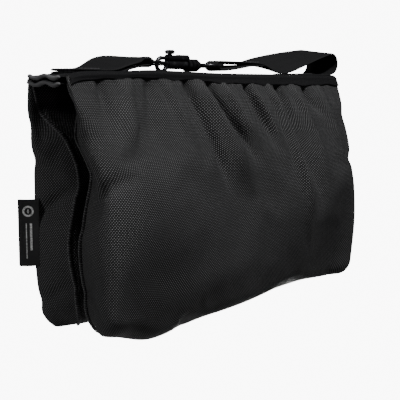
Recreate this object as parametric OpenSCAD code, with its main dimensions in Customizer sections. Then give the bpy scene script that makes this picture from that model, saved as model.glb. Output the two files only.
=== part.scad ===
// Saddle bag for weighting a stand: two sand-filled pouches joined by a bridge that hangs over a leg,
// with a webbing handle that snaps onto a ring. Millimetres, +Z up, +X along the bag, -Y is the front.
// The origin is on the underside of the bridge, where the bag rests on the leg.

/* [Bridge] */
// Length of the bridge, end to end
bridge_len = 330; // [300:5:360]
// Width of the bridge, from pouch to pouch
bridge_w = 36; // [34:1:38]
// Thickness of each bridge layer
layer_t = 1; // [0.8:0.1:1.2]
// Height of the gap between the two bridge layers
layer_gap = 1.5; // [1:0.1:1.8]

/* [Pouches] */
// How far each pouch hangs below the bridge
pouch_h = 182; // [160:1:200]
// Furthest reach of the front pouch from the middle plane
front_depth = 52; // [46:1:54]
// Furthest reach of the rear pouch from the middle plane
rear_depth = 45; // [42:1:54]
// How much each pouch end pulls in below the bridge end
end_pull_in = 17; // [10:1:20]
// Thickness of the pouch fabric
wall_t = 1.2; // [1:0.1:1.4]
// Radius of the pouch's outer bottom edge
bottom_r = 22; // [16:1:26]

/* [Zippers] */
// Length of each zipper opening
zip_len = 250; // [200:10:260]
// How far each slider travels
zip_travel = 232; // [180:1:240]

/* [Handle] */
// Width of the webbing
web_w = 38; // [34:1:38]
// Thickness of the webbing
web_t = 1.6; // [1.4:0.1:1.8]
// Radius of the ring's wire
ring_wire_r = 1.4; // [1.2:0.1:1.5]
// Radius of the ring's round side, at the middle of the wire
ring_r = 10.8; // [10:0.1:11]

/* [Snap hook] */
// Radius of the hook's wire
hook_wire_r = 1.7; // [1.5:0.1:1.8]
// Radius of the hook's round nose, at the middle of the wire
hook_r = 5.2; // [5:0.1:5.4]
// Travel of the spring bolt
bolt_travel = 6.5; // [5:0.5:6.5]

/* [Label] */
// Width of the sewn label
label_w = 16; // [12:1:18]
// Height of the sewn label
label_h = 50; // [40:1:54]

/* [Hidden] */
$fn = 48;

half_len = bridge_len / 2;
bridge_top = 2 * layer_t + layer_gap;
bind_t = 0.6;                      // thickness of the edge tape round each bridge end
bind_len = 8;                      // how far the edge tape reaches in
rest_w = 30.4;                     // width of the flat underside
panel_bind_w = bridge_w - 2.2;

// pouch cross-section, as distance out from the middle plane and height
throat_out = 19.5;                 // outer face just under the bridge
throat_in = 15.5;                  // inner face beside the leg
belly_in = 2.5;                    // inner face below the leg
leg_clear_z = -22;                 // inner face starts to close under the leg
belly_z = -42;                     // inner face has closed under the leg
inner_r = 14;                      // radius of the inner bottom edge
outline_r = 20;                    // radius of the bottom corners, seen from the front
belly_share = 0.6;                 // share of the height where the outer face is fullest
pouch_top = -0.3;
seam_out = 24;                     // where the outer and inner panels are sewn below
liner_gap = 0.5;
liner_t = 0.5;
liner_top = -26;
sand_top = -44;
fabric_black = [0.05, 0.05, 0.055];
metal_black = [0.12, 0.12, 0.13];

function outer_at(z, depth) = let(s = min(1, -z / (belly_share * pouch_h)))
    throat_out + (depth - throat_out) * sin(90 * s);
function arc(cx, cz, r, a0, a1, n = 8) = [
    for (i = [0:n]) let(a = a0 + (a1 - a0) * i / n) [cx + r * cos(a), cz + r * sin(a)]
];
// the cross-section drawn in by t on every side but the top
function pouch_profile(depth, t, top) = concat(
    [for (i = [0:12]) let(z = top + (-pouch_h + bottom_r - top) * i / 12)
        [outer_at(min(0, z), depth) - t, z]],
    arc(depth - bottom_r, bottom_r - pouch_h, bottom_r - t, -8, -90, 7),
    arc(belly_in + inner_r, inner_r - pouch_h, inner_r - t, -90, -180, 6),
    top > belly_z ? [[belly_in + t, belly_z]] : [[belly_in + t, top]],
    top > belly_z ? [[let(q = min(1, (top - belly_z) / (leg_clear_z - belly_z)))
        belly_in + t + (throat_in - belly_in) * q, min(top, leg_clear_z)]] : [],
    top > leg_clear_z ? [[throat_in + t, top]] : []
);
function half_len_at(z) = half_len - end_pull_in * sin(min(90, max(0, -z) * 270 / pouch_h));
// the end view's outline drawn in by t on the sides and the bottom
function end_outline(t) = let(r = outline_r, zs = [for (i = [0:8]) -i * pouch_h / 24])
    concat(
        [[half_len_at(0) - t, 1]],
        [for (z = zs) [half_len_at(z) - t, z]],
        arc(half_len - end_pull_in - r, r - pouch_h, r - t, 0, -90, 6),
        arc(-half_len + end_pull_in + r, r - pouch_h, r - t, -90, -180, 6),
        [for (i = [8:-1:0]) [-half_len_at(zs[i]) + t, zs[i]]],
        [[-half_len_at(0) + t, 1]]
    );

module along_x(length) {
    translate([-length / 2, 0, 0]) rotate([90, 0, 90]) linear_extrude(length) children();
}
module along_y(width) {
    translate([0, width / 2, 0]) rotate([90, 0, 0]) linear_extrude(width) children();
}
module block(x, y, z) {
    translate([x[0], y[0], z[0]]) cube([x[1] - x[0], y[1] - y[0], z[1] - z[0]]);
}
module side(s) {
    if (s < 0) mirror([0, 1, 0]) children();
    else children();
}
module section_solid(depth, t, top) {
    along_x(bridge_len + 10) polygon(pouch_profile(depth, t, top));
}
module outline_solid(t) {
    along_y(140) polygon(end_outline(t));
}

// fabric strips that make one pouch
module pouch_wrap(depth) {
    difference() {
        intersection() {
            section_solid(depth, 0, pouch_top);
            outline_solid(0);
        }
        section_solid(depth, wall_t, 5);
    }
}
module outer_panel(depth) {
    intersection() {
        pouch_wrap(depth);
        union() {
            block([-200, 200], [seam_out, 90], [-pouch_h - 5, -pouch_h / 2]);
            block([-200, 200], [(throat_in + throat_out) / 2, 90], [-pouch_h / 2 - 1, 5]);
        }
    }
}
module inner_panel(depth) {
    difference() {
        intersection() {
            pouch_wrap(depth);
            union() {
                block([-200, 200], [0, seam_out], [-pouch_h - 5, -pouch_h / 2]);
                block([-200, 200], [0, (throat_in + throat_out) / 2], [-pouch_h / 2 - 1, 5]);
            }
        }
        zip_opening();
    }
}
module gusset(depth, x_side) {
    intersection() {
        section_solid(depth, wall_t, pouch_top - 4);
        difference() {
            outline_solid(0);
            outline_solid(wall_t);
        }
        scale([x_side, 1, 1]) block([half_len - end_pull_in - outline_r, 200], [0, 90], [-300, 5]);
    }
}
module liner(depth) {
    t0 = wall_t + liner_gap;
    difference() {
        intersection() {
            section_solid(depth, t0, liner_top);
            outline_solid(t0);
        }
        intersection() {
            section_solid(depth, t0 + liner_t, liner_top + 1);
            outline_solid(t0 + liner_t);
        }
    }
}
module sand(depth) {
    t = wall_t + liner_gap + liner_t + 0.3;
    intersection() {
        section_solid(depth, t, sand_top);
        outline_solid(t);
    }
}
band_h = 7.5;
band_t = 0.8;
band_skin = 0.05;                  // gap between the band and the panel under it
module top_band(depth) {
    zs = [for (i = [0:4]) pouch_top - (band_h + pouch_top) * i / 4];
    skin = [for (z = zs) [outer_at(z, depth) + band_skin, z]];
    along_x(2 * half_len_at(-band_h) - 1) polygon(concat(
        [[throat_out - 0.8, 0.5], [throat_out - 0.8, pouch_top + 0.05], [throat_out, pouch_top + 0.05]],
        skin,
        [for (p = backwards(skin)) p + [band_t, 0]],
        [[throat_out + band_skin + band_t, 0.5]]
    ));
}

// zipper in the inner face of a pouch, beside the leg
zip_z = -12;
zip_half_h = 4;
tape_t = 0.6;
tooth_h = 1.8;
tooth_gap = 1.6;
slider_len = 9;
slider_half_h = 4.2;
slider_rest = zip_travel / 2;
pull_len = 20;
pull_out = 13.6;                   // pull hinge, out from the middle plane
module zip_opening() {
    block([-zip_len / 2, zip_len / 2], [0, throat_in + wall_t + 0.1],
        [zip_z - zip_half_h, zip_z + zip_half_h]);
}
module zipper_tape() {
    back = throat_in + wall_t;
    for (s = [-1, 1])
        block([-zip_len / 2 - 4, zip_len / 2 + 4], [back, back + tape_t],
            [zip_z + (s > 0 ? tooth_gap / 2 : -7), zip_z + (s > 0 ? 7 : -tooth_gap / 2)]);
}
module zipper_teeth() {
    front = throat_in + wall_t - 0.9;
    for (s = [-1, 1]) {
        z0 = s > 0 ? tooth_gap / 2 : -tooth_gap / 2 - tooth_h;
        block([-zip_travel / 2 - 2, zip_travel / 2 + 2], [front, front + 0.9],
            [zip_z + z0, zip_z + z0 + tooth_h]);
    }
}
module zipper_stops() {
    front = throat_in + wall_t - 1;
    for (s = [-1, 1])
        block([s * (zip_len / 2 - 2.3) - 1.2, s * (zip_len / 2 - 2.3) + 1.2],
            [front, throat_in + wall_t], [zip_z - 2.6, zip_z + 2.6]);
}
module zipper_slider(x) {
    front = throat_in + wall_t - 0.9;
    // face plate, web between the rows, back plate
    block([x - slider_len / 2, x + slider_len / 2], [front - 1.2, front - 0.3],
        [zip_z - slider_half_h + 0.6, zip_z + slider_half_h - 0.6]);
    block([x - 1.5, x + 1.5], [front - 0.4, front + 2.2], [zip_z - 0.5, zip_z + 0.5]);
    block([x - slider_len / 2, x + slider_len / 2], [front + 1.8, front + 2.8],
        [zip_z - slider_half_h + 0.6, zip_z + slider_half_h - 0.6]);
    // lugs for the pull's pin
    for (s = [-1, 1])
        translate([x, pull_out, zip_z + s * 2.4 - 0.5]) difference() {
            union() {
                cylinder(r = 0.9, h = 1);
                translate([-0.9, 0, 0]) cube([1.8, front - 0.4 - pull_out, 1]);
            }
            translate([0, 0, -1]) cylinder(r = 0.45, h = 3);
        }
}
module zipper_pull(x, dir) {
    translate([x, pull_out, zip_z]) {
        translate([0, 0, -3]) cylinder(r = 0.4, h = 6);
        difference() {
            union() {
                translate([0, 0, -1.5]) cylinder(r = 0.9, h = 3);
                translate([min(0, dir * pull_len), -0.6, -1.5]) cube([pull_len, 1.2, 3]);
                translate([min(dir * 6, dir * pull_len), -0.6, -2.8]) cube([pull_len - 6, 1.2, 5.6]);
            }
            translate([dir * (pull_len - 4), -1, 0]) rotate([-90, 0, 0]) cylinder(r = 1.3, h = 3);
        }
    }
}

// bridge
module bridge_panel() {
    color(fabric_black) difference() {
        block([-half_len + 1, half_len - 1], [-bridge_w / 2, bridge_w / 2], [layer_t, bridge_top]);
        block([-half_len, half_len], [-bridge_w / 2 + 1, bridge_w / 2 - 1],
            [0, layer_t + layer_gap]);
    }
}
module bridge_lining() {
    // pressed thin where it is sewn in, so its underside rests flat between the pouches
    color(fabric_black) {
        block([-half_len + 1, half_len - 1], [-bridge_w / 2, bridge_w / 2], [bind_t, layer_t]);
        block([-half_len + bind_len, half_len - bind_len], [-rest_w / 2, rest_w / 2], [0, layer_t]);
    }
}
// a folded tape over the cut end of one layer of the bridge
module binding(x_side, width, z0, z1) {
    x_in = half_len - bind_len;
    color([0.2, 0.2, 0.21]) scale([x_side, 1, 1]) difference() {
        block([x_in, half_len], [-width / 2, width / 2], [z0 - bind_t, z1 + bind_t]);
        block([x_in - 1, half_len - 1], [-width / 2 - 1, width / 2 + 1], [z0, z1]);
    }
}

// webbing: a path in the X-Z plane made web_t thick
function unit(v) = v / norm(v);
function left_of(v) = [-v[1], v[0]];
function path_side(p, d) = [
    for (i = [0:len(p) - 1])
        let(
            a = left_of(unit(i > 0 ? p[i] - p[i - 1] : p[1] - p[0])),
            b = left_of(unit(i < len(p) - 1 ? p[i + 1] - p[i] : p[i] - p[i - 1])),
            m = unit(a + b)
        )
        p[i] + m * d / (m * a)
];
function backwards(p) = [for (i = [len(p) - 1:-1:0]) p[i]];
module webbing(path, width) {
    along_y(width) polygon(concat(path_side(path, web_t / 2), backwards(path_side(path, -web_t / 2))));
}

// left end of the handle: a tab sewn to the bridge and folded round the ring's bar
rest_z = bridge_top + web_t / 2 + 0.05;
upper_z = rest_z + web_t + 0.1;    // second layer of webbing, on the first
ring_bar = [-72.2, 12.6];
loop_gap = 0.35;
loop_r = ring_wire_r + loop_gap + web_t / 2;
tab_loop_w = 16;
module ring_tab() {
    path = concat(
        [[-152, upper_z], [-126, upper_z], [-100, 13.4], [-78, ring_bar[1] + loop_r]],
        arc(ring_bar[0], ring_bar[1], loop_r, 90, -90, 10),
        [[-78, ring_bar[1] - loop_r], [-100, 10.4], [-126, rest_z], [-152, rest_z]]
    );
    color(fabric_black) intersection() {
        webbing(path, web_w);
        // the folded end is gathered to fit the ring
        translate([0, 0, -10]) linear_extrude(60) polygon([
            [-160, -web_w / 2], [-92, -web_w / 2], [-80, -tab_loop_w / 2], [-60, -tab_loop_w / 2],
            [-60, tab_loop_w / 2], [-80, tab_loop_w / 2], [-92, web_w / 2], [-160, web_w / 2]
        ]);
    }
}
module stitch_box(x0, x1, y, z) {
    stitch = 2.2;
    pitch = 3.2;
    color([0.16, 0.16, 0.17]) {
        for (x = [x0:pitch:x1], s = [-1, 1])
            translate([x, s * y, z]) cube([stitch, 0.7, 0.5], center = true);
        for (t = [-y + 2:pitch:y - 2], x = [x0, x1])
            translate([x, t, z]) cube([0.7, stitch, 0.5], center = true);
    }
}
module ring_tab_stitches() {
    stitch_box(-149, -129, web_w / 2 - 3, upper_z + web_t / 2 + 0.25);
}

// right end of the handle: the webbing is sewn down and runs to the fold
lift_axis = [150, rest_z];
sewn_x = 105;
module strap_end() {
    color(fabric_black) webbing([[sewn_x, rest_z], [lift_axis[0] - 0.5, rest_z]], web_w);
}
module strap_end_stitches() {
    stitch_box(sewn_x + 3, sewn_x + 22, web_w / 2 - 3, rest_z + web_t / 2 + 0.25);
}

// ring: a bar inside the tab and a round side that the hook holds
ring_tilt = -3;
ring_leg = 9.8;
module d_loop(r, wire, leg) {
    rotate([0, 0, 90]) rotate_extrude(angle = 180) translate([r, 0]) circle(r = wire);
    for (s = [-1, 1]) {
        translate([0, s * r, 0]) rotate([0, 90, 0]) cylinder(r = wire, h = leg);
        translate([leg, s * r, 0]) sphere(r = wire);
    }
    translate([leg, 0, 0]) rotate([90, 0, 0]) cylinder(r = wire, h = 2 * r, center = true);
}
module d_ring() {
    color(metal_black) translate([ring_bar[0], 0, ring_bar[1]]) rotate([0, ring_tilt, 180])
        translate([-ring_leg, 0, 0]) d_loop(ring_r, ring_wire_r, ring_leg);
}

// snap hook: nose, shank, bolt tube and swivel collar in one casting
hook_c = [-53.4, 10.9];
tube_r = 2.9;
tube_x = [-47.6, -24];
shank_r = 3.4;
collar_r = 5;
collar_x = [-26, -14];
stem_r = 2;
stem_gap = 0.1;
head_r = 3.2;
bolt_r = 1.5;
bolt_gap = 0.08;
bolt_z = hook_c[1] + hook_r;
bolt_tip_x = hook_c[0] + 0.6;
bolt_end_x = -38.6;
bolt_bore_end_x = -26;
knob_x = -44;
knob_w = 2.6;
module x_rod(x, z, r) {
    translate([x[0], 0, z]) rotate([0, 90, 0]) cylinder(r = r, h = x[1] - x[0]);
}
module hook_body() {
    color(metal_black) difference() {
        union() {
            // nose, open on top where the bolt closes it
            translate([hook_c[0], 0, hook_c[1]]) rotate([90, 0, 0]) rotate([0, 0, 92])
                rotate_extrude(angle = 268) translate([hook_r, 0]) circle(r = hook_wire_r);
            block([tube_x[0], tube_x[1]], [-hook_wire_r, hook_wire_r], [hook_c[1] - 2, bolt_z]);
            x_rod(tube_x, bolt_z, tube_r);
            x_rod([tube_x[0], collar_x[1]], hook_c[1], shank_r);
            for (x = [collar_x[0], collar_x[0] + 4.4, collar_x[0] + 8.8])
                x_rod([x, x + 3.2], hook_c[1], collar_r);
            x_rod(collar_x, hook_c[1], collar_r - 0.6);
        }
        x_rod([tube_x[0] - 3, bolt_bore_end_x], bolt_z, bolt_r + bolt_gap);
        block([knob_x - knob_w / 2 - 0.3, knob_x + knob_w / 2 + bolt_travel + 0.3],
            [-knob_w / 2 - 0.25, knob_w / 2 + 0.25], [bolt_z, bolt_z + 6]);
        x_rod([-22.6, -17.4], hook_c[1], head_r + 0.25);
        x_rod([-18, collar_x[1] + 1], hook_c[1], stem_r + stem_gap);
    }
}
module hook_bolt() {
    color(metal_black) {
        x_rod([bolt_tip_x, bolt_end_x], bolt_z, bolt_r);
        block([knob_x - knob_w / 2, knob_x + knob_w / 2], [-knob_w / 2, knob_w / 2],
            [bolt_z, bolt_z + tube_r + 0.4]);
        translate([knob_x, 0, bolt_z + tube_r + 0.3]) {
            cylinder(r = 3.4, h = 1);
            translate([0, 0, 0.9]) cylinder(r = 4, h = 1.6);
            translate([0, 0, 2.4]) cylinder(r = 3.2, h = 0.8);
        }
    }
}
module hook_spring() {
    turns = 9;
    gap_x = bolt_bore_end_x - bolt_end_x;
    color("silver") for (i = [0:turns - 1])
        translate([bolt_end_x + gap_x * (i + 0.5) / turns, 0, bolt_z]) rotate([0, 90, 0])
            rotate_extrude() translate([1.1, 0]) circle(r = 0.25, $fn = 16);
}

// eye: a stem held in the collar and a loop whose bar carries the strap
eye_r = 10;
eye_wire_r = 1.7;
eye_c = -0.5;
eye_bar_x = 7.5;
module swivel_eye() {
    z = hook_c[1];
    color(metal_black) {
        x_rod([-22.2, -18.4], z, head_r);
        x_rod([-18.6, eye_c - eye_r + 0.4], z, stem_r);
        x_rod([collar_x[1] + 0.4, eye_c - eye_r], z, 3.2);
        translate([eye_c, 0, z]) d_loop(eye_r, eye_wire_r, eye_bar_x - eye_c);
    }
}

// strap: folded round the eye's bar, over the hand space, and back down at the right end
eye_loop_w = 14;
fold_r = 10;
module handle_strap() {
    z = hook_c[1];
    r = eye_wire_r + loop_gap + web_t / 2;
    fold_z = lift_axis[1] + fold_r + 1.2;
    path = concat(
        [lift_axis, [154, lift_axis[1] + 1.2]],
        arc(154, fold_z, fold_r, -75, 90, 10),
        [[146, 25], [110, 19.5], [74, 14.8], [56, 13.4], [36, 13.4], [14, z + r]],
        arc(eye_bar_x, z, r, 90, 270, 10),
        [[14, z - r], [30, 10], [36, 11.7], [53, 11.7]]
    );
    color(fabric_black) intersection() {
        webbing(path, web_w);
        translate([0, 0, -10]) linear_extrude(60) polygon([
            [0, -eye_loop_w / 2], [12, -eye_loop_w / 2], [34, -web_w / 2], [180, -web_w / 2],
            [180, web_w / 2], [34, web_w / 2], [12, eye_loop_w / 2], [0, eye_loop_w / 2]
        ]);
    }
}
module strap_eye_stitches() {
    stitch_box(39, 51, web_w / 2 - 4, 13.4 + web_t / 2 + 0.25);
}

// label: a folded strip sewn to the left end of the rear pouch, standing out from it
label_t = 0.8;
label_z = -87;
label_in = 13;                     // how far the label sits in from the rear corner
function label_pin() = [-half_len_at(label_z - label_h / 2) - 0.9, rear_depth - label_in];
module label() {
    color([0.07, 0.07, 0.075]) translate([label_pin()[0], label_pin()[1], label_z - label_h])
        rotate([0, 0, 135]) translate([0, -label_t / 2, 0]) cube([label_w, label_t, label_h]);
}

module left_panel_binding() { binding(-1, panel_bind_w, layer_t + layer_gap, bridge_top); }
module right_panel_binding() { binding(1, panel_bind_w, layer_t + layer_gap, bridge_top); }
module left_lining_binding() { binding(-1, rest_w, bind_t, layer_t); }
module right_lining_binding() { binding(1, rest_w, bind_t, layer_t); }

module front_outer_panel() { color(fabric_black) side(-1) outer_panel(front_depth); }
module front_inner_panel() { color(fabric_black) side(-1) inner_panel(front_depth); }
module front_left_gusset() { color(fabric_black) side(-1) gusset(front_depth, -1); }
module front_right_gusset() { color(fabric_black) side(-1) gusset(front_depth, 1); }
module front_top_band() { color(fabric_black) side(-1) top_band(front_depth); }
module front_liner() { color([0.75, 0.75, 0.7]) side(-1) liner(front_depth); }
module front_sand() { color([0.76, 0.66, 0.48]) side(-1) sand(front_depth); }
module front_zipper_tape() { color(fabric_black) side(-1) zipper_tape(); }
module front_zipper_teeth() { color(fabric_black) side(-1) zipper_teeth(); }
module front_zipper_stops() { color(metal_black) side(-1) zipper_stops(); }
module front_zipper_slider() { color(metal_black) side(-1) zipper_slider(slider_rest); }
module front_zipper_pull() { color(metal_black) side(-1) zipper_pull(slider_rest, -1); }

module rear_outer_panel() { color(fabric_black) outer_panel(rear_depth); }
module rear_inner_panel() { color(fabric_black) inner_panel(rear_depth); }
module rear_left_gusset() { color(fabric_black) gusset(rear_depth, -1); }
module rear_right_gusset() { color(fabric_black) gusset(rear_depth, 1); }
module rear_top_band() { color(fabric_black) top_band(rear_depth); }
module rear_liner() { color([0.75, 0.75, 0.7]) liner(rear_depth); }
module rear_sand() { color([0.76, 0.66, 0.48]) sand(rear_depth); }
module rear_zipper_tape() { color(fabric_black) zipper_tape(); }
module rear_zipper_teeth() { color(fabric_black) zipper_teeth(); }
module rear_zipper_stops() { color(metal_black) zipper_stops(); }
module rear_zipper_slider() { color(metal_black) zipper_slider(-slider_rest); }
module rear_zipper_pull() { color(metal_black) zipper_pull(-slider_rest, 1); }

bridge_panel();
bridge_lining();
left_panel_binding();
left_lining_binding();
right_panel_binding();
right_lining_binding();
ring_tab();
ring_tab_stitches();
strap_end();
strap_end_stitches();
front_outer_panel();
front_inner_panel();
front_left_gusset();
front_right_gusset();
front_top_band();
front_liner();
front_sand();
front_zipper_tape();
front_zipper_teeth();
front_zipper_stops();
front_zipper_slider();
front_zipper_pull();
rear_outer_panel();
rear_inner_panel();
rear_left_gusset();
rear_right_gusset();
rear_top_band();
rear_liner();
rear_sand();
rear_zipper_tape();
rear_zipper_teeth();
rear_zipper_stops();
rear_zipper_slider();
rear_zipper_pull();
label();
d_ring();
handle_strap();
strap_eye_stitches();
swivel_eye();
hook_body();
hook_spring();
hook_bolt();
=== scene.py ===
"""Looks of the saddle sandbag: fabric pouches, seams, webbing, zippers and hardware."""
import math

import bpy
import numpy as np
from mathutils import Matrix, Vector


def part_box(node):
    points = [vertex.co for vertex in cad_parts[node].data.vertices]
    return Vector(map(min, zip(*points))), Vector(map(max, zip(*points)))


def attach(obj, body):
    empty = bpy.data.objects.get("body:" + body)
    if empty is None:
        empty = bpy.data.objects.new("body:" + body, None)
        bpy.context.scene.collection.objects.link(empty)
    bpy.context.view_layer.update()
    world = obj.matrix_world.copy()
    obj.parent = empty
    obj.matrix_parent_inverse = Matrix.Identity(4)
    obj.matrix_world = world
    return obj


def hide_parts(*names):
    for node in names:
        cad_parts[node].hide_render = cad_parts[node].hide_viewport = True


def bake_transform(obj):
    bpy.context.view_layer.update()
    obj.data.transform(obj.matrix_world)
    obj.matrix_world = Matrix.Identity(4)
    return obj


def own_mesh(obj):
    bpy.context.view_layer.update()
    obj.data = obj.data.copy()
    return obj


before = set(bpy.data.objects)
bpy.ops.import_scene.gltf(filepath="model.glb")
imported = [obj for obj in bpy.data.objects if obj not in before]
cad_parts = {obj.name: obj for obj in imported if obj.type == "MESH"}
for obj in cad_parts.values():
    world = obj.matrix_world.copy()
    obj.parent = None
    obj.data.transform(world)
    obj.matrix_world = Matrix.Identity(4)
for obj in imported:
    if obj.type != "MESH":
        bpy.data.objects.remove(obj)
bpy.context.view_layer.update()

MM = 0.001

# ---------------------------------------------------------------- sizes, from the frame (mm)


def box_mm(node):
    low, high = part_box(node)
    return np.array(low) / MM, np.array(high) / MM


BRIDGE_HIGH = box_mm("bridge_panel")[1]
HALF_LEN = BRIDGE_HIGH[0] + 1
HALF_W = BRIDGE_HIGH[1]
BRIDGE_TOP = BRIDGE_HIGH[2]
BOTTOM = box_mm("front_outer_panel")[0][2]
DEPTH = {-1: -box_mm("front_outer_panel")[0][1], 1: box_mm("rear_outer_panel")[1][1]}
PREFIX = {-1: "front", 1: "rear"}
POUCH = {-1: "front_pouch", 1: "rear_pouch"}
TAPE_BACK = -box_mm("front_zipper_tape")[0][1]
THROAT_OUT = 19.5
CAMERA_YAW = math.radians(48)

# ---------------------------------------------------------------- node materials


class Nodes:
    """A short way to build one material's node tree."""

    def __init__(self, name, base, roughness, metallic=0.0, **inputs):
        self.material = bpy.data.materials.new(name)
        self.material.use_nodes = True
        self.tree = self.material.node_tree
        self.shader = self.tree.nodes["Principled BSDF"]
        self.shader.inputs["Base Color"].default_value = (*base, 1)
        self.shader.inputs["Roughness"].default_value = roughness
        self.shader.inputs["Metallic"].default_value = metallic
        for key, value in inputs.items():
            self.shader.inputs[key.replace("_", " ")].default_value = value

    def node(self, kind, **settings):
        n = self.tree.nodes.new("ShaderNode" + kind)
        for key, value in settings.items():
            setattr(n, key, value)
        return n

    def link(self, a, b):
        self.tree.links.new(a, b)

    def put(self, value, socket):
        if isinstance(value, (int, float, tuple)):
            socket.default_value = value
        else:
            self.link(value, socket)

    def math(self, operation, a, b=0.0, c=0.0, clamp=False):
        n = self.node("Math", operation=operation, use_clamp=clamp)
        for value, socket in zip((a, b, c), n.inputs):
            self.put(value, socket)
        return n.outputs[0]

    def uv(self):
        """The cloth's own coordinates, in millimetres."""
        split = self.node("SeparateXYZ")
        self.link(self.node("UVMap", uv_map="cloth").outputs[0], split.inputs[0])
        return split.outputs[0], split.outputs[1]

    def place(self):
        """The piece's own coordinates, in metres."""
        return self.node("TexCoord").outputs["Object"]

    def noise(self, scale, detail=3.0, vector=None, roughness=0.5):
        n = self.node("TexNoise")
        n.inputs["Scale"].default_value = scale
        n.inputs["Detail"].default_value = detail
        n.inputs["Roughness"].default_value = roughness
        self.link(vector or self.place(), n.inputs["Vector"])
        return n.outputs["Fac"]

    def ramp(self, fac, low, high):
        """0 below low, 1 above high, straight between."""
        n = self.node("MapRange")
        self.put(fac, n.inputs["Value"])
        n.inputs["From Min"].default_value = low
        n.inputs["From Max"].default_value = high
        return n.outputs["Result"]

    def mix(self, fac, a, b):
        n = self.node("Mix", data_type="RGBA")
        self.put(fac, n.inputs["Factor"])
        for value, socket in ((a, n.inputs[6]), (b, n.inputs[7])):
            self.put((*value, 1) if isinstance(value, tuple) else value, socket)
        return n.outputs[2]

    def color(self, value):
        self.link(value, self.shader.inputs["Base Color"])

    def rough(self, value):
        self.link(value, self.shader.inputs["Roughness"])

    def bump(self, height, distance, strength=1.0, under=None):
        n = self.node("Bump")
        n.inputs["Strength"].default_value = strength
        n.inputs["Distance"].default_value = distance
        self.link(height, n.inputs["Height"])
        if under:
            self.link(under, n.inputs["Normal"])
        return n.outputs["Normal"]

    def normal(self, value):
        self.link(value, self.shader.inputs["Normal"])


def woven(name, warp, weft, dark, light, depth, roughness, shine=0.12):
    """A plain weave: warp and weft are the yarn pitches in mm along the cloth's two directions. The dark
    colour is the fabric's own; the light colour is a painted highlight on the yarn tops.
    """
    m = Nodes(name, dark, roughness)
    m.shader.inputs["Specular IOR Level"].default_value = shine
    u, v = m.uv()
    wander = m.math("MULTIPLY_ADD", m.noise(90, 2), 0.5, -0.25)
    along = m.math("SINE", m.math("MULTIPLY", m.math("ADD", u, wander), math.pi / warp))
    across = m.math("SINE", m.math("MULTIPLY", m.math("ADD", v, wander), math.pi / weft))
    over = m.math("MULTIPLY", along, across)
    weft_top = m.ramp(over, 0.34, 0.74)
    warp_top = m.ramp(over, -0.15, -0.7)
    fibre = m.noise(4200, 2)
    # painted highlight: the weft tops get the light colour in place of a sheen from the lamp
    painted_highlight = m.math("MULTIPLY", weft_top, m.ramp(fibre, 0.1, 0.75))
    patch = m.ramp(m.noise(14, 3), 0.3, 0.75)
    tone = m.math("MULTIPLY", painted_highlight, m.math("MULTIPLY_ADD", patch, 0.35, 0.65))
    m.color(m.mix(tone, dark, light))
    height = m.math("ADD", m.math("ABSOLUTE", over), m.math("MULTIPLY", warp_top, -0.35))
    height = m.math("MULTIPLY_ADD", fibre, 0.12, height)
    m.rough(m.math("MULTIPLY_ADD", weft_top, -0.3, roughness + 0.2))
    m.normal(m.bump(height, depth, 0.9))
    return m.material


def webbing_material():
    """Twill webbing: slanting ribs whose slant turns back and forth across the width."""
    m = Nodes("webbing_twill", (0.008, 0.008, 0.009), 0.7)
    m.shader.inputs["Specular IOR Level"].default_value = 0.12
    u, v = m.uv()
    slant = m.math("ADD", m.math("MULTIPLY", u, math.pi / 1.5), m.math("PINGPONG", v, 4.75))
    rib = m.math("SINE", m.math("MULTIPLY", slant, 2.0))
    yarn = m.math("SINE", m.math("MULTIPLY", v, math.pi / 0.55))
    fibre = m.noise(3000, 2)
    height = m.math("MULTIPLY_ADD", yarn, 0.35, m.math("MULTIPLY", rib, 0.5))
    # painted highlight: the raised ribs get the lighter colour
    tone = m.math("MULTIPLY", m.ramp(height, 0.0, 0.8), m.ramp(fibre, 0.2, 0.8))
    m.color(m.mix(tone, (0.002, 0.002, 0.0024), (0.04, 0.04, 0.042)))
    m.normal(m.bump(m.math("MULTIPLY_ADD", fibre, 0.2, height), 0.00018, 0.8))
    return m.material


def binding_material():
    """Ribbed tape, painted pale grey along its fold as a painted highlight."""
    m = Nodes("binding_tape", (0.03, 0.03, 0.033), 0.6, Sheen_Weight=0.05, Sheen_Roughness=0.4)
    u, v = m.uv()
    rib = m.math("SINE", m.math("MULTIPLY", u, math.pi / 0.6))
    # painted highlight: one side of the tape's tube, along the fold, is painted pale grey
    painted_fold_highlight = m.ramp(m.math("ABSOLUTE", v), 3.2, 0.4)
    patch = m.ramp(m.noise(160, 4), 0.25, 0.75)
    tone = m.math("MULTIPLY", painted_fold_highlight, m.math("MULTIPLY_ADD", patch, 0.6, 0.4))
    m.color(m.mix(tone, (0.005, 0.005, 0.006), (0.11, 0.11, 0.115)))
    m.normal(m.bump(m.math("ADD", rib, m.noise(2500, 2)), 0.00012, 0.7))
    return m.material


def seam_material():
    """A bound seam under a zigzag of thread, with a painted highlight on the raised stitches."""
    m = Nodes("felled_seam", (0.02, 0.02, 0.022), 0.55, Sheen_Weight=0.02)
    u, v = m.uv()
    chevron = m.math("ADD", u, m.math("MULTIPLY", m.math("ABSOLUTE", v), 0.9))
    stitch = m.math("SINE", m.math("MULTIPLY", chevron, math.pi / 0.85))
    # painted highlight: the raised stitches get the lighter colour
    painted_highlight = m.math("MULTIPLY", m.ramp(stitch, 0.1, 0.8), m.ramp(m.noise(700, 2), 0.35, 0.65))
    m.color(m.mix(painted_highlight, (0.004, 0.004, 0.0045), (0.13, 0.13, 0.135)))
    m.normal(m.bump(stitch, 0.00025, 0.9))
    return m.material


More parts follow.
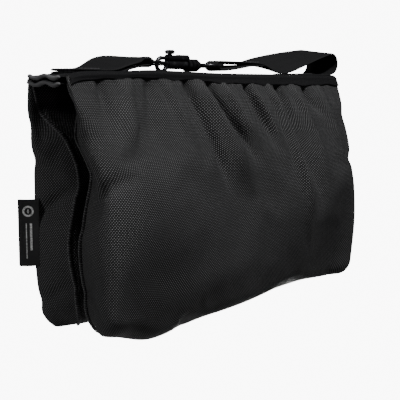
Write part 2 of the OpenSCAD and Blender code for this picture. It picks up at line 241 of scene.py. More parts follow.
def black_metal():
    """Black coated metal, rubbed paler in soft patches."""
    m = Nodes("black_coated_metal", (0.02, 0.02, 0.022), 0.3, 0.75, Coat_Weight=0.25)
    m.shader.inputs["Coat Roughness"].default_value = 0.2
    cloud = m.noise(300, 4)
    m.color(m.mix(m.ramp(cloud, 0.55, 0.8), (0.014, 0.014, 0.016), (0.06, 0.06, 0.064)))
    m.rough(m.math("MULTIPLY_ADD", cloud, 0.25, 0.2))
    m.normal(m.bump(m.noise(900, 3), 0.00003, 0.5))
    return m.material


def grainy(name, base, other, roughness, scale, depth, **inputs):
    """A plain material with fine grain and soft patches of a second colour."""
    m = Nodes(name, base, roughness, **inputs)
    m.color(m.mix(m.ramp(m.noise(scale * 0.12, 4), 0.35, 0.7), base, other))
    m.normal(m.bump(m.noise(scale, 4), depth, 0.6))
    return m.material


# the second colour of each weave below is a painted highlight on its yarn tops
BALLISTIC = woven("ballistic_weave", 0.98, 1.15, (0.001, 0.001, 0.0012), (0.27, 0.27, 0.278),
                  0.0005, 0.48, shine=0.35)
OXFORD = woven("oxford_weave", 0.42, 0.42, (0.003, 0.003, 0.0035), (0.04, 0.04, 0.042),
               0.00012, 0.7)
WEBBING = webbing_material()
BINDING = binding_material()
SEAM = seam_material()
METAL = black_metal()
THREAD = grainy("bonded_thread", (0.02, 0.02, 0.022), (0.05, 0.05, 0.055), 0.5, 2500, 0.00005)
ZIP_TAPE = woven("zipper_tape", 0.5, 0.5, (0.006, 0.006, 0.007), (0.035, 0.035, 0.038),
                 0.0001, 0.7)
ZIP_TEETH = grainy("zipper_coil", (0.012, 0.012, 0.013), (0.03, 0.03, 0.032), 0.35, 1800, 0.00002)
STEEL = grainy("spring_wire", (0.5, 0.5, 0.51), (0.35, 0.35, 0.36), 0.3, 1500, 0.00002, metallic=1.0)
FILM = grainy("liner_film", (0.72, 0.72, 0.69), (0.6, 0.6, 0.57), 0.4, 120, 0.0004)
SAND = grainy("dry_sand", (0.6, 0.49, 0.33), (0.42, 0.33, 0.21), 0.95, 2200, 0.0004)

# ---------------------------------------------------------------- mesh helpers


def smoothstep(x, low, high):
    t = np.clip((np.asarray(x, float) - low) / (high - low), 0, 1)
    return t * t * (3 - 2 * t)


def through(z, points):
    """A smooth line through (z, value) points, listed from the top down."""
    zs, values = zip(*points)
    zs, values = -np.array(zs, float), np.array(values, float)
    slopes = np.gradient(values, zs)
    x = np.clip(-np.asarray(z, float), zs[0], zs[-1])
    i = np.clip(np.searchsorted(zs, x, "right") - 1, 0, len(zs) - 2)
    h = zs[i + 1] - zs[i]
    t = (x - zs[i]) / h
    return ((2 * t**3 - 3 * t**2 + 1) * values[i] + (t**3 - 2 * t**2 + t) * h * slopes[i]
            + (3 * t**2 - 2 * t**3) * values[i + 1] + (t**3 - t**2) * h * slopes[i + 1])


def rounded(points, passes=3):
    """Cuts an open line's corners, keeping its ends."""
    p = np.array(points, float)
    for _ in range(passes):
        q = 0.75 * p[:-1] + 0.25 * p[1:]
        r = 0.25 * p[:-1] + 0.75 * p[1:]
        p = np.vstack([p[:1], np.stack([q, r], 1).reshape(-1, p.shape[1]), p[-1:]])
    return p


def spaced(points, count):
    """The same line with evenly spaced points."""
    p = np.asarray(points, float)
    run = np.r_[0, np.cumsum(np.linalg.norm(np.diff(p, axis=0), axis=1))]
    at = np.linspace(0, run[-1], count)
    return np.column_stack([np.interp(at, run, p[:, k]) for k in range(p.shape[1])])


def make(name, verts_mm, faces, corner_uv=None, material=None):
    """A mesh object from points in mm, with the cloth's coordinates on its corners."""
    mesh = bpy.data.meshes.new(name)
    mesh.from_pydata([tuple(v * MM) for v in np.asarray(verts_mm, float)], [], faces)
    mesh.update()
    if corner_uv is not None:
        layer = mesh.uv_layers.new(name="cloth")
        layer.data.foreach_set("uv", np.asarray(corner_uv, "f").ravel())
    mesh.polygons.foreach_set("use_smooth", [True] * len(mesh.polygons))
    obj = bpy.data.objects.new(name, mesh)
    bpy.context.scene.collection.objects.link(obj)
    if material:
        mesh.materials.append(material)
    return obj


def sheet_grid(name, points, uv, material, thickness=0.0, close=False):
    """A surface from a grid of points (rows, columns, 3), or a thin solid if it has a thickness."""
    rows, cols = points.shape[:2]
    faces, corners = [], []
    for i in range(rows - 1):
        for j in range(cols - (0 if close else 1)):
            k = (j + 1) % cols
            quad = ((i, j), (i, k), (i + 1, k), (i + 1, j))
            faces.append([a * cols + b for a, b in quad])
            wrap = j + 1 if close else k
            corners += [uv(i, j), uv(i, wrap), uv(i + 1, wrap), uv(i + 1, j)]
    obj = make(name, points.reshape(-1, 3), faces, corners, material)
    if thickness:
        solid = obj.modifiers.new("thickness", "SOLIDIFY")
        solid.thickness = thickness * MM
        solid.offset = 0
        apply_modifiers(obj)
    return obj


def apply_modifiers(obj):
    depsgraph = bpy.context.evaluated_depsgraph_get()
    mesh = bpy.data.meshes.new_from_object(obj.evaluated_get(depsgraph), depsgraph=depsgraph)
    old, name = obj.data, obj.data.name
    obj.modifiers.clear()
    obj.data = mesh
    bpy.data.meshes.remove(old)
    mesh.name = name


def subdivide(obj, levels=1):
    sub = obj.modifiers.new("smooth", "SUBSURF")
    sub.levels = sub.render_levels = levels
    apply_modifiers(obj)


def tube(name, path, radii, material, sides=10, close_ends=True):
    """A tube along a path; radii is one (across, up) pair or one for each point."""
    path = np.asarray(path, float)
    radii = np.broadcast_to(np.asarray(radii, float), (len(path), 2))
    tangent = np.gradient(path, axis=0)
    tangent /= np.linalg.norm(tangent, axis=1)[:, None]
    up = np.array([0.0, 0.0, 1.0]) if abs(tangent[0][2]) < 0.9 else np.array([0.0, 1.0, 0.0])
    rings = []
    for p, t, (ra, rb) in zip(path, tangent, radii):
        side = np.cross(up, t)
        side /= np.linalg.norm(side)
        up = np.cross(t, side)
        turn = np.linspace(0, 2 * math.pi, sides, endpoint=False)
        rings.append(p + ra * np.outer(np.cos(turn), side) + rb * np.outer(np.sin(turn), up))
    run = np.r_[0, np.cumsum(np.linalg.norm(np.diff(path, axis=0), axis=1))]
    girth = math.pi * (radii[0][0] + radii[0][1])
    obj = sheet_grid(name, np.array(rings), lambda i, j: (run[i], girth * (j / sides - 0.5)),
                     material, close=True)
    if close_ends:
        cap(obj, sides, len(path))
    return obj


def cap(obj, sides, rings):
    """Closes both ends of a tube."""
    import bmesh
    bm = bmesh.new()
    bm.from_mesh(obj.data)
    bm.verts.ensure_lookup_table()
    last = (rings - 1) * sides
    bm.faces.new([bm.verts[k] for k in range(sides)][::-1])
    bm.faces.new([bm.verts[last + k] for k in range(sides)])
    bmesh.ops.recalc_face_normals(bm, faces=bm.faces)
    bm.to_mesh(obj.data)
    bm.free()


# ---------------------------------------------------------------- pouches

# half length of the full part of a pouch, and of its end seam, by height
FULL_END = [(0, 164), (-28, 160), (-50, 156), (-68, 151), (-90, 149), (-130, 149), (-182, 147)]
REAR_LEFT = [(0, 168), (-28, 163), (-50, 157), (-68, 152), (-90, 149.5), (-130, 149.5),
             (-182, 148)]
FULL_RIGHT = [(0, 161.5), (-28, 158.5), (-50, 156), (-68, 153.5), (-90, 152.5), (-130, 155), (-182, 157)]
# how the fabric rounds off at each end: line, rounding (mm) and share of the bottom tuck
ENDS = {(-1, -1): (FULL_END, 17, 0.7), (-1, 1): (FULL_RIGHT, 11, 0.2),
        (1, -1): (REAR_LEFT, 10, 0.3), (1, 1): (FULL_END, 15, 0.6)}
SEAM_END = [(0, 163), (-28, 152), (-45, 141), (-66, 132), (-92, 136), (-118, 141),
            (-147, 137), (-182, 132)]
BOTTOM_R = 15
COLUMNS = 141
ROWS = 52
CROSS_ROWS = 3
BELLY_Z = -109
# valleys (-) and ridges (+) on each outer face: top x, top z, bottom x, bottom z, width, height
FOLDS = {
    -1: [(-50, 0, -22, -92, 4.5, -4.0), (-38, 0, 2, -95, 8, 3.4), (-27, 0, 16, -72, 4.5, -4.6),
         (-10, 0, 20, -58, 6, 2.4), (19, 0, 44, -64, 5, -3.4), (30, 0, 50, -70, 5, 2.0),
         (51, -6, 76, -138, 5, 3.6), (62, 0, 96, -130, 7, -3.2), (84, 0, 104, -92, 7, 2.6),
         (99, 0, 116, -34, 4.5, -3.4), (122, 0, 134, -70, 8, 1.8), (-86, 0, -102, -60, 9, -2.0),
         (-111, 0, -125, -56, 9, 2.2), (-70, 0, -62, -48, 6, 1.6), (-134, 0, -140, -44, 8, -1.8)],
    1: [(-120, 0, -104, -80, 6, -3.0), (-96, 0, -76, -96, 8, 3.0), (-60, 0, -52, -70, 5, -3.2),
        (-30, 0, -34, -88, 7, 2.6), (4, 0, -6, -64, 5, -3.0), (36, 0, 22, -92, 8, 2.8),
        (66, 0, 50, -82, 5, -3.4), (96, 0, 84, -104, 7, 3.0), (124, 0, 116, -60, 6, -2.4)],
}
# dents in the pouch ends: share of the way from seam to full part, height, slant, width, depth
END_DENTS = {
    -1: [(0.80, -76, 1.2, 5, 5.0), (0.45, -96, 0.9, 6, 3.0), (0.35, -160, -0.8, 5, 3.0)],
    1: [(0.55, -92, -0.9, 5, 6.0), (0.55, -158, -0.5, 5, 5.0), (0.8, -60, 0.6, 6, 2.5)],
}


def outer_reach(z, depth):
    share = np.clip(-np.asarray(z, float) / -BELLY_Z, 0, 1)
    turn_under = 5.5 * smoothstep(-np.asarray(z, float), 118, 186)
    return THROAT_OUT + (depth - 1 - THROAT_OUT) * np.sin(math.pi / 2 * share) - turn_under


def inner_reach(z):
    beside_zip = TAPE_BACK + 0.5
    return beside_zip + (3.0 - beside_zip) * smoothstep(-np.asarray(z, float), 21, 44)


def end_line(side, end, z):
    """How far the full part of a pouch reaches at one end, by height."""
    return through(z, ENDS[side, end][0])


def sag(side, x, z):
    """The filling's weight drags the left of the front pouch's bottom down."""
    if side > 0:
        return np.zeros_like(x)
    width = np.where(x < -99, 22, 35)
    return 9 * np.exp(-((x + 99) / width) ** 2) * smoothstep(-z, 118, 180)


def pouch_loop(side, z, depth, inset):
    """The outer and inner lines of the pouch at one height, as (x, distance from the middle)."""
    height = z - (BOTTOM + 1 + inset)
    tuck = BOTTOM_R - math.sqrt(BOTTOM_R**2 - max(0, BOTTOM_R - height) ** 2)
    out = outer_reach(z, depth) - inset - tuck
    inn = inner_reach(z) + inset + 0.8 * tuck
    wide = out - inn
    seam_out = inn + min(2.5, 0.3 * wide)

    def end(which):
        _, round_off, tucked = ENDS[side, which]
        full = end_line(side, which, z) - 1.8 * inset - tucked * tuck
        seam = min(through(z, SEAM_END), full - 0.5) - 1.8 * inset - 0.5 * tuck
        corner = min(round_off, 0.5 * wide)
        return [(seam, seam_out), (0.62 * seam + 0.38 * full + 2, inn + 0.34 * wide),
                (full, out - 0.9 * corner), (full - 0.35 * corner, out - 0.15 * corner),
                (full - 1.4 * corner, out), (0.62 * full, out + 0.6)]

    left = [(-x, o) for x, o in end(-1)]
    right = end(1)
    seam = right[0][0]
    outer = spaced(rounded(left + [(0, out + 1)] + right[::-1]), COLUMNS)
    near = [(seam, seam_out), (seam - 5, inn), (0.6 * seam, inn)]
    inner = spaced(rounded([(-x, o) for x, o in near] + near[::-1]), COLUMNS)
    return outer, inner


def fold_relief(side, x, z):
    """How far the outer face stands out from its smooth shape at (x, z)."""
    lift = np.zeros_like(x)
    below_tape = smoothstep(edge_line(side, x, 2) - z, -1.5, 6)
    for x0, z0, x1, z1, width, height in FOLDS[side]:
        run = np.clip((z0 - z) / (z0 - z1), -0.2, 1.4)
        line = x0 + (x1 - x0) * np.abs(run) ** 0.9
        fade = smoothstep(z, z1, z1 + 0.45 * (z0 - z1)) * below_tape
        spread = width * (0.55 + 0.7 * np.clip(run, 0, 1))
        lift += height * fade * np.exp(-((x - line) / spread) ** 2)
    lean = x + 0.32 * z
    gathers = np.sin(lean * 2 * math.pi / 12.5 + 1.3 * np.sin(lean / 17)) + 0.6 * np.sin(lean / 1.37)
    lift += 0.8 * gathers * np.exp(z / 13) * below_tape
    slump = np.sin(x / 31 + side) * np.sin(z / 24 + 0.7 * side) * 1.4
    return lift + slump * smoothstep(-z, 20, 80)


def pouch_grid(side, inset=0.0, folded=True):
    """Rings of points from the top down; each ring runs along the outer line and back inside."""
    depth = DEPTH[side]
    top = 1.6 if inset == 0 else -26 - inset
    levels = np.r_[np.linspace(top, BOTTOM + 1 + BOTTOM_R, ROWS - 10),
                   BOTTOM + 1 + inset + (BOTTOM_R - inset) * (1 - np.sin(np.linspace(0.16, math.pi / 2, 10)))]
    rings = []
    for z in levels:
        outer, inner = pouch_loop(side, z, depth, inset)
        if folded:
            x, o = outer[:, 0], outer[:, 1]
            full = np.where(x < 0, end_line(side, -1, z), end_line(side, 1, z))
            on_face = smoothstep(full - np.abs(x), 2, 26)
            outer[:, 1] += 2.2 * fold_relief(side, x, np.full_like(x, z)) * on_face
            if side < 0:
                tapered = smoothstep(x, -70, 130) * smoothstep(np.full_like(x, -z), 108, 174)
                outer[:, 1] -= 11 * tapered * on_face * np.clip((o - 6) / 30, 0, 1)
            share = (o - inner_reach(z)) / max(1.0, outer_reach(z, depth) - inner_reach(z))
            at_end = smoothstep(np.abs(x), 118, 132)
            for where, height, slant, width, dent in END_DENTS[side]:
                off = (z - height - slant * 30 * (share - where)) / width
                near = np.exp(-off**2 - ((share - where) / 0.4) ** 2)
                outer[:, 0] -= np.sign(x) * dent * near * at_end
        ring = np.vstack([outer, inner[1:-1][::-1]])
        rings.append(np.column_stack([ring[:, 0], side * ring[:, 1], z - sag(side, ring[:, 0], z)]))
    return np.array(rings)


def pouch_mesh(name, side, material, inset=0.0, folded=True):
    """The whole closed pouch, with the cloth's coordinates along and down the fabric."""
    rings = pouch_grid(side, inset, folded)
    rows, loop = rings.shape[:2]
    middle = COLUMNS // 2
    drop = np.r_[0, np.cumsum(np.linalg.norm(np.diff(rings[:, middle], axis=0), axis=1))]
    belly = rings[rows // 2]
    run = np.r_[0, np.cumsum(np.linalg.norm(np.diff(np.vstack([belly, belly[:1]]), axis=0), axis=1))]
    verts = list(rings.reshape(-1, 3))
    faces, corners = [], []

    def add(quad, uvs):
        if side > 0:
            quad, uvs = quad[::-1], uvs[::-1]
        faces.append(quad)
        corners.extend(uvs)

    for i in range(rows - 1):
        for j in range(loop):
            k = (j + 1) % loop
            add([i * loop + j, i * loop + k, (i + 1) * loop + k, (i + 1) * loop + j],
                [(run[j], drop[i]), (run[j + 1], drop[i]),
                 (run[j + 1], drop[i + 1]), (run[j], drop[i + 1])])

    def close(row, flip):
        """Joins the outer line to the inner one across a ring."""
        start = row * loop
        outer = [start + j for j in range(COLUMNS)]
        inner = [start] + [start + loop - j for j in range(1, COLUMNS - 1)] + [start + COLUMNS - 1]
        lines = [outer]
        for step in range(1, CROSS_ROWS + 1):
            share = step / (CROSS_ROWS + 1)
            line = [outer[0]]
            for a, b in zip(outer[1:-1], inner[1:-1]):
                line.append(len(verts))
                verts.append(verts[a] * (1 - share) + verts[b] * share)
            lines.append(line + [outer[-1]])
        lines.append(inner)
        across = np.linalg.norm(np.array(verts[outer[middle]]) - verts[inner[middle]])
        for s in range(len(lines) - 1):
            a, b = lines[s], lines[s + 1]
            v0, v1 = (drop[row] + across * t / (CROSS_ROWS + 1) for t in (s, s + 1))
            for j in range(COLUMNS - 1):
                points = [(a[j], (run[j], v0)), (a[j + 1], (run[j + 1], v0)),
                          (b[j + 1], (run[j + 1], v1)), (b[j], (run[j], v1))]
                kept = [p for n, p in enumerate(points) if p[0] not in [q[0] for q in points[:n]]]
                if flip:
                    kept = kept[::-1]
                add([p[0] for p in kept], [p[1] for p in kept])

    close(rows - 1, False)
    close(0, True)
    return make(name, verts, faces, corners, material), rows, loop


def inflate(obj, pinned, frames=12, pressure=1.0, growth=-0.014, reach=6.0):
    """Lets the fabric swell and crumple a little, then keeps the result."""
    start = np.array([v.co for v in obj.data.vertices])
    group = obj.vertex_groups.new(name="sewn")
    for index, weight in pinned.items():
        group.add([index], weight, "REPLACE")
    cloth = obj.modifiers.new("cloth", "CLOTH")
    settings = cloth.settings
    settings.quality = 6
    settings.mass = 0.25
    settings.tension_stiffness = settings.compression_stiffness = 18
    settings.shear_stiffness = 8
    settings.bending_stiffness = 0.6
    settings.tension_damping = settings.compression_damping = 8
    settings.shear_damping = 8
    settings.air_damping = 4
    settings.vertex_group_mass = "sewn"
    settings.shrink_min = settings.shrink_max = growth
    settings.use_pressure = True
    settings.uniform_pressure_force = pressure
    settings.effector_weights.gravity = 0
    cloth.collision_settings.use_collision = False
    cloth.point_cache.frame_start = 1
    cloth.point_cache.frame_end = frames
    scene = bpy.context.scene
    for frame_number in range(1, frames + 1):
        scene.frame_set(frame_number)
    apply_modifiers(obj)
    scene.frame_set(1)
    obj.vertex_groups.clear()
    end = np.array([v.co for v in obj.data.vertices])
    move = end - start
    far = np.linalg.norm(move, axis=1, keepdims=True)
    held = move * np.minimum(1, reach * MM / np.maximum(far, 1e-9))
    obj.data.vertices.foreach_set("co", (start + held).ravel())
    obj.data.update()


def keep_clear(obj, side):
    """Keeps the fabric on its own side of the leg's channel, behind the zipper and near its box."""
    co = np.array([v.co for v in obj.data.vertices]) / MM
    out = side * co[:, 1]
    least = inner_reach(co[:, 2]) - 0.4
    co[:, 1] = side * np.maximum(out, least)
    co[:, 2] = np.clip(co[:, 2], BOTTOM - 10, 2.0)
    obj.data.vertices.foreach_set("co", (co * MM).ravel())
    obj.data.update()


def swing_with(obj):
    """Fabric that bends over the bridge's edge, the saddle above and the pouch below: its placement is baked
    into the mesh, and it is not attached to either part.
    """
    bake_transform(obj)


def add_pouch(side):
    who = PREFIX[side]
    shell, rows, loop = pouch_mesh(who + "_pouch_fabric", side, BALLISTIC)
    pinned = {}
    for i, weight in ((0, 1.0), (1, 1.0), (2, 0.9), (3, 0.4)):
        for j in range(loop):
            pinned[i * loop + j] = weight
    inflate(shell, pinned)
    keep_clear(shell, side)
    co = np.array([v.co for v in shell.data.vertices]) / MM
    grid = co[: rows * loop].reshape(rows, loop, 3)
    for end, column in (("left", 0), ("right", COLUMNS - 1)):
        add_seam(side, end, grid[:, column])
    subdivide(shell)
    swing_with(shell)
    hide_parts(who + "_outer_panel", who + "_inner_panel",
                who + "_left_gusset", who + "_right_gusset")
    for part, inset, material in (("sand", 8.5, SAND), ("liner", 7.0, FILM)):
        core, _, _ = pouch_mesh(who + "_" + part + "_bag", side, material, inset)
        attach(core, POUCH[side])
        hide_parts(who + "_" + part)


def add_seam(side, end, path):
    """The raised seam that joins the two panels at a pouch's end."""
    away = np.array([-1.0 if end == "left" else 1.0, 0, 0])
    line = rounded(path[1:], 1) + away * 0.4
    radii = np.column_stack([np.full(len(line), 1.9), np.full(len(line), 0.9)])
    radii *= smoothstep(np.arange(len(line)), -1, 2)[:, None]
    seam = tube(PREFIX[side] + "_" + end + "_seam", line, radii, SEAM, sides=10)
    swing_with(seam)


# upper and lower line of the tape along each top edge: x, upper z, lower z
EDGE_LINES = {
    -1: [(-165, 0.8, -4.6), (-150, 3.6, -2.0), (-135, 4.2, -0.7), (-105, 4.6, 0.2), (-82, 5.4, 0.0),
         (-55, 4.9, -0.8), (-10, 3.8, -3.2), (55, 3.5, -4.7), (165, 3.2, -5.2)],
    1: [(-165, 0.6, -4.0), (-140, 3.4, -3.2), (-80, 3.6, -3.0), (0, 3.4, -4.2), (90, 3.7, -3.6),
        (165, 3.0, -4.4)],
}


def edge_line(side, x, which):
    """Height of the edge tape's upper (1) or lower (2) line at x."""
    table = EDGE_LINES[side]
    return through(-np.asarray(x, float), [(-row[0], row[which]) for row in table])


def add_band(side):
    """The folded tape over a pouch's top edge, from the top of the bridge down the outer face."""
    xs = np.linspace(-HALF_LEN + (3 if side < 0 else -1), HALF_LEN - 6, 150)
    wave = 0.5 * np.sin(xs / 9 + side) + 0.4 * np.sin(xs / 4.3)
    top, foot = edge_line(side, xs, 1) + 0.6, edge_line(side, xs, 2) + wave
    rows = []
    for share in np.linspace(0, 1, 12):
        turn = min(1.0, share / 0.4) * math.pi / 2
        drop = max(0.0, share - 0.4) / 0.6
        out = HALF_W - 2.2 + 3.4 * math.sin(turn)
        fold = top - 1.8 * (1 - math.cos(turn))
        z = fold + (foot - fold) * drop
        y = np.maximum(out + 0.25 * np.sin(xs / 9.1 + 3 * drop),
                       outer_reach(z, DEPTH[side]) + 1.1)
        y = np.where(share < 0.4, out, y)
        rows.append(np.column_stack([xs, side * y, z]))
    rows = np.array(rows)
    down = np.r_[0, np.cumsum(np.linalg.norm(np.diff(rows[:, 75], axis=0), axis=1))]
    if side > 0:
        rows = rows[:, ::-1]
    band = sheet_grid(PREFIX[side] + "_edge_tape", rows, lambda i, j: (xs[j], down[i]), OXFORD, 1.1)
    subdivide(band)
    swing_with(band)
    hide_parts(PREFIX[side] + "_top_band")


for side in (-1, 1):
    add_pouch(side)
    add_band(side)

# ---------------------------------------------------------------- bridge


def layer(name, z0, node, lips):
    """One layer of the bridge, softly wrinkled, with its ends lifting or sagging to form lips."""
    xs = np.linspace(-HALF_LEN - 3, HALF_LEN - 1, 130)
    ys = np.linspace(-HALF_W + 1.2, HALF_W - 1.2, 21)
    gx, gy = np.meshgrid(xs, ys)
    near_end = smoothstep(np.abs(gx), HALF_LEN - 15, HALF_LEN - 1)
    lip = np.where(gx < 0, *lips)
    z = z0 + near_end * (lip + 1.0 * np.sin(gy / 3.1 + gx / 40))
    z = z + 0.25 * np.sin(gx / 9 + gy / 5) * (1 - near_end) * (1 - (gy / HALF_W) ** 2)
    if z0 > 1:
        for side in (-1, 1):
            rise = np.maximum(0, edge_line(side, gx, 1) - BRIDGE_TOP)
            z = z + rise * smoothstep(side * gy, 9, 16.5)
    grid = np.stack([gx, gy, z], -1)
    sheet = sheet_grid(name, grid, lambda i, j: (xs[j], ys[i]), OXFORD, 0.9)
    subdivide(sheet)
    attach(sheet, "saddle")
    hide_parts(node)
    return grid


def bound_edge(name, edge, node):
    """Tape folded over the cut end of a layer."""
    line = rounded(edge, 1)
    wobble = np.sin(line[:, 1] / 2.3) * 0.35
    radii = np.column_stack([1.9 + 0.3 * wobble, 1.5 + wobble * 0.6])
    radii *= np.minimum(1, 0.35 + 0.3 * np.minimum(np.arange(len(line)), np.arange(len(line))[::-1]))[:, None]
    piece = tube(name, line, radii, BINDING, sides=12)
    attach(piece, "saddle")
    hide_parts(node)


upper = layer("bridge_cover", BRIDGE_TOP - 0.6, "bridge_panel", (-2.0, -0.8))
lower = layer("bridge_underside", 0.55, "bridge_lining", (-4.2, -3.0))
for end, column in (("left", 0), ("right", -1)):
    bound_edge(end + "_upper_lip", upper[:, column], end + "_panel_binding")
    bound_edge(end + "_lower_lip", lower[:, column], end + "_lining_binding")

# ---------------------------------------------------------------- webbing

WEB_T = 1.5
WEB_HALF = 18.6
REST_Z = BRIDGE_TOP + 0.85
UPPER_Z = REST_Z + 1.52
RING_BAR = (-72.2, 12.6)
RING_LOOP = 2.55
EYE_BAR = (7.5, 10.9)
EYE_LOOP = 2.85


def ribbon(name, points, count, curl):
    """Webbing along points (x, z, half width, lean of its face in degrees)."""
    p = np.array(points, float)
    run = np.r_[0, np.cumsum(np.linalg.norm(np.diff(p[:, :2], axis=0), axis=1))]
    at = np.linspace(0, run[-1], count)
    soften = lambda v: np.convolve(np.pad(v, 3, "edge"), np.ones(7) / 7, "valid")
    x, z, half, lean = (np.interp(at, run, p[:, k]) for k in range(4))
    half, lean = soften(half), np.radians(soften(lean))
    centre = np.column_stack([x, np.zeros(count), z])
    along = np.gradient(centre, axis=0)
    along /= np.linalg.norm(along, axis=1)[:, None]
    side = np.array([0.0, 1.0, 0.0])
    lateral = np.cos(lean)[:, None] * side + np.sin(lean)[:, None] * np.cross(along, side)
    normal = np.cross(along, lateral)
    rows = []
    steps = np.linspace(-1, 1, 13)
    for step in steps:
        ruck = 1.6 * (1 - half / WEB_HALF) * np.sin(step * 7.5)
        rows.append(centre + (step * half)[:, None] * lateral
                    + (curl * step * step + ruck)[:, None] * normal)
    piece = sheet_grid(name, np.array(rows), lambda i, j: (at[j], steps[i] * WEB_HALF), WEBBING, WEB_T)
    subdivide(piece)
    return piece


def turn_round(bar, radius, start, stop, half, lean, count=12):
    share = np.linspace(0, 1, count)
    angle = np.radians(start + (stop - start) * share)
    return np.column_stack([bar[0] + radius * np.cos(angle), bar[1] + radius * np.sin(angle),
                            np.full(count, half), lean[0] + (lean[1] - lean[0]) * share]).tolist()


ring_tab = ribbon(
    "ring_tab_webbing",
    rounded([(-149, UPPER_Z, 17, 0), (-140, UPPER_Z, 17, 0),
             (-125, UPPER_Z + 0.2, 17.5, 2), (-116, 8.2, WEB_HALF, 8), (-108, 11.6, WEB_HALF, 10),
             (-100, 13.4, WEB_HALF, 10), (-90, 14.5, 17, 8), (-83, 15.2, 11, 3),
             (-78, RING_BAR[1] + RING_LOOP, 8, 0)], 2).tolist()
    + turn_round(RING_BAR, RING_LOOP, 90, -90, 8, (0, 0))
    + rounded([(-78, RING_BAR[1] - RING_LOOP, 8, 0), (-84, 10.0, 11, -3), (-92, 10.8, 16, -8),
               (-101, 10.8, WEB_HALF, -10), (-109, 8.8, WEB_HALF, -10), (-117, 5.7, WEB_HALF, -7),
               (-126, REST_Z, 17.5, -2), (-149, REST_Z, 17, 0)], 2).tolist(),
    120, 0.3)
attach(ring_tab, "saddle")
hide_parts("ring_tab")

handle = ribbon(
    "handle_webbing",
    [(104.5, REST_Z, WEB_HALF, 0), (120, REST_Z, WEB_HALF, 0), (138, REST_Z, WEB_HALF, 0),
     (150, REST_Z + 0.1, WEB_HALF, 0), (155, REST_Z + 1.2, WEB_HALF, 0)]
    + turn_round((154.5, REST_Z + 11.3), 10.1, -78, 92, WEB_HALF, (0, -7))
    + rounded([(147, 24.6, WEB_HALF, -8), (128, 21.2, WEB_HALF, -13), (108, 17.0, WEB_HALF, -19),
               (90, 13.0, WEB_HALF, -24), (76, 11.3, WEB_HALF, -22), (64, 11.4, WEB_HALF, -11),
               (52, 13.0, WEB_HALF, -1), (38, 13.4, 18, 0), (26, 13.6, 10, 0),
               (14, EYE_BAR[1] + EYE_LOOP, 7, 0)], 2).tolist()
    + turn_round(EYE_BAR, EYE_LOOP, 92, 268, 7, (0, 0))
    + rounded([(14, EYE_BAR[1] - EYE_LOOP, 7, 0), (24, 9, 11, 0), (31, 10.4, 16, 0),
               (37, 11.6, WEB_HALF, 0), (53, 11.7, WEB_HALF, 0)], 2).tolist(),
    190, -0.2)
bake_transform(handle)
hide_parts("strap_end", "handle_strap")


def stitches(name, x0, x1, half_y, z, body, node):
    """A sewn box with a cross in it: short runs of thread that stand just out of the webbing."""
    corners = [(x0, -half_y), (x1, -half_y), (x1, half_y), (x0, half_y)]
    lines = list(zip(corners, corners[1:] + corners[:1])) + [(corners[0], corners[2]),
                                                             (corners[1], corners[3])]
    length, gap, r = 2.3, 0.7, 0.28
    verts, faces = [], []
    for a, b in lines:
        a, b = np.array(a), np.array(b)
        reach = np.linalg.norm(b - a)
        along = (b - a) / reach
        side = np.array([-along[1], along[0]])
        count = int(reach // (length + gap))
        for n in range(count):
            start = a + along * ((n + 0.5) * reach / count - length / 2)
            base = len(verts)
            for step in np.linspace(0, 1, 5):
                fat = r * (0.45 + 0.55 * math.sin(math.pi * step))
                rise = 0.35 * math.sin(math.pi * step) - 0.1
                for t in np.linspace(0, 2 * math.pi, 6, endpoint=False):
                    flat = start + along * length * step + side * fat * math.cos(t)
                    verts.append((flat[0], flat[1], z + rise + fat * math.sin(t)))
            for ring in range(4):
                for k in range(6):
                    p, q = base + ring * 6 + k, base + ring * 6 + (k + 1) % 6
                    faces.append([p, q, q + 6, p + 6])
            faces.append([base + k for k in range(6)][::-1])
            faces.append([base + 24 + k for k in range(6)])
    piece = make(name, verts, faces, None, THREAD)
    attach(piece, body)
    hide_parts(node)


stitches("tab_box_stitches", -148.5, -130, 15.5, UPPER_Z + WEB_T / 2 + 0.12, "saddle",
         "ring_tab_stitches")
stitches("anchor_box_stitches", 108, 127, 15.5, REST_Z + WEB_T / 2 + 0.12, "saddle",
         "strap_end_stitches")
stitches("eye_fold_stitches", 38, 51, 14, 13.45 + WEB_T / 2 + 0.12, "strap", "strap_eye_stitches")

# ---------------------------------------------------------------- label


